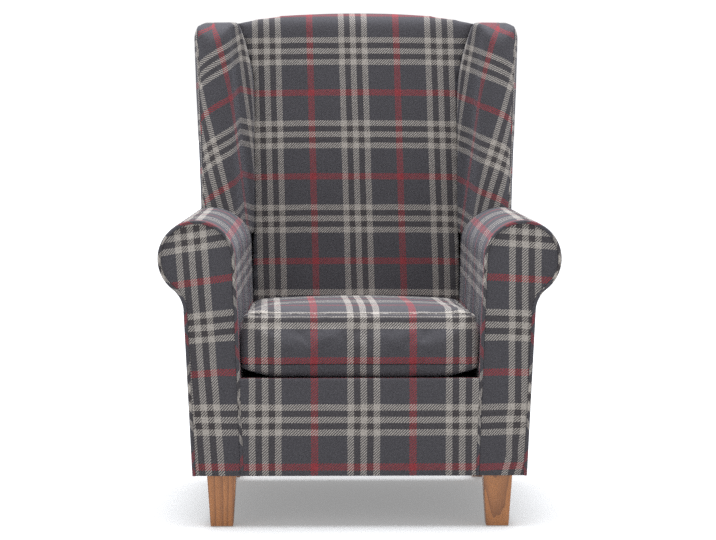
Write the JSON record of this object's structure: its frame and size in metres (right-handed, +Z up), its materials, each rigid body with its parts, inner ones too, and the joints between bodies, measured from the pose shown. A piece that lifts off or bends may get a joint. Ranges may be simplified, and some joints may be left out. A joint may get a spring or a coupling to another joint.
{
  "type": "fireside chair",
  "caption": "Wing-back fireside armchair with scroll arms, a loose boxed seat cushion and tapered oak legs, upholstered in grey tartan",
  "frame": {"origin": "centre of the footprint's bounding box on the floor", "axes": "+X to the right of someone looking at the front, +Y towards the back, +Z up"},
  "size_m": [0.792, 0.7805, 1.0321],
  "materials": {
    "tartan_wool": "matte",
    "tartan_piping": "matte",
    "platform_cloth": "matte",
    "dust_cloth": "matte",
    "felt": "matte",
    "webbing": "matte",
    "foam": "matte",
    "frame_timber": "matte",
    "oak_leg": "satin",
    "zinc_steel": "satin",
    "spring_steel": "satin",
    "nylon_glide": "matte",
    "zip_tape": "matte",
    "zip_metal": "satin"
  },
  "bodies": {
    "frame": {"front_border_cover": "tartan_wool", "inside_back_cover": "tartan_wool", "outside_back_cover": "tartan_wool", "left_inside_arm_cover": "tartan_wool", "right_inside_arm_cover": "tartan_wool", "left_outside_arm_cover": "tartan_wool", "right_outside_arm_cover": "tartan_wool", "left_arm_facing": "tartan_wool", "right_arm_facing": "tartan_wool", "left_inside_wing_cover": "tartan_wool", "right_inside_wing_cover": "tartan_wool", "left_outside_wing_cover": "tartan_wool", "right_outside_wing_cover": "tartan_wool", "left_arm_facing_piping": "tartan_piping", "right_arm_facing_piping": "tartan_piping", "platform_cover": "platform_cloth", "dust_cover": "dust_cloth", "platform_felt": "felt", "back_webbing": "webbing", "front_border_padding": "foam", "left_arm_foam": "foam", "right_arm_foam": "foam", "back_foam": "foam", "left_wing_foam": "foam", "right_wing_foam": "foam", "front_rail": "frame_timber", "left_side_rail": "frame_timber", "right_side_rail": "frame_timber", "left_front_post": "frame_timber", "right_front_post": "frame_timber", "left_back_post": "frame_timber", "right_back_post": "frame_timber", "rear_rail": "frame_timber", "lower_back_rail": "frame_timber", "crest_rail": "frame_timber", "left_arm_rail": "frame_timber", "right_arm_rail": "frame_timber", "left_wing_board": "frame_timber", "right_wing_board": "frame_timber", "corner_blocks": "frame_timber", "front_left_leg": "oak_leg", "front_right_leg": "oak_leg", "rear_left_leg": "oak_leg", "rear_right_leg": "oak_leg", "leg_hanger_bolts": "zinc_steel", "leg_plates": "zinc_steel", "spring_clips": "zinc_steel", "seat_springs": "spring_steel", "leg_glides": "nylon_glide"},
    "seat_cushion": {"seat_cushion_foam": "foam", "seat_cushion_cover": "tartan_wool", "cushion_zip_tape": "zip_tape"},
    "zip_slider": {"cushion_zip_slider": "zip_metal"}
  },
  "joints": [
    {"name": "cushion_lift", "type": "slide", "parent": "frame", "child": "seat_cushion", "axis": [0, 0, 1], "range_m": [0, 0.35]},
    {"name": "zip_travel", "type": "slide", "parent": "seat_cushion", "child": "zip_slider", "axis": [1, 0, 0], "range_m": [0, 0.318]}
  ]
}
